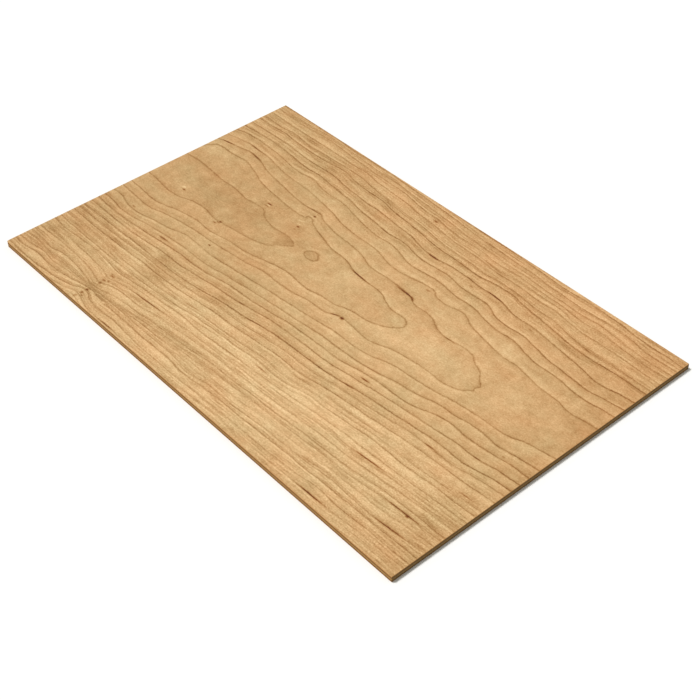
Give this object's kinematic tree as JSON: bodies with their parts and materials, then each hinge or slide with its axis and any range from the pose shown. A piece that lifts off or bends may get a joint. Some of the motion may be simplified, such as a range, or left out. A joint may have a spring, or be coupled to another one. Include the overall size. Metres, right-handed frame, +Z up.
{
  "type": "plywood sheet",
  "caption": "Flat rectangular craft sheet of cherry-faced hardwood plywood, with sawn edges and lightly eased arrises.",
  "frame": {"origin": "middle of the underside, which lies on the floor", "axes": "+X along the length and the face grain, +Y across the width, +Z up through the thickness, out of the better face"},
  "size_m": [0.4826, 0.3048, 0.0052],
  "materials": {
    "cherry_plywood": "sanded and unfinished"
  },
  "bodies": {
    "root": {"plywood_sheet": "cherry_plywood"}
  },
  "joints": []
}
